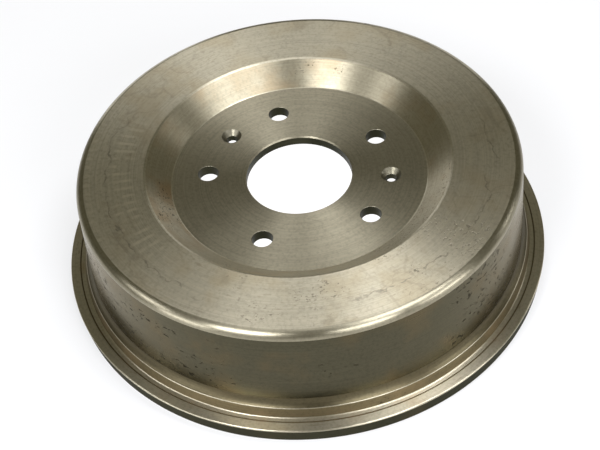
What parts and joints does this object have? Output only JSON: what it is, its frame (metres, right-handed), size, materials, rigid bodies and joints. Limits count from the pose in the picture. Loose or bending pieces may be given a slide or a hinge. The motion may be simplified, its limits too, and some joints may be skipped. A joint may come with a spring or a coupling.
{
  "type": "brake drum",
  "caption": "Cast-iron brake drum: a deep barrel closed by a dished web, with a flanged open rim, a hub bore, wheel stud holes and countersunk screw holes.",
  "frame": {"origin": "centre of the open rim's rest face, on the drum's axis", "axes": "+Z along the drum's axis, from the open mouth to the closed wheel side; the screw holes and studs are even about the YZ plane, with the lone stud hole at -Y"},
  "size_m": [0.307, 0.307, 0.08],
  "materials": {
    "turned_iron": "turned, with circular tool marks, open pores and light stains"
  },
  "bodies": {
    "root": {"brake_drum": "turned_iron"}
  },
  "joints": []
}
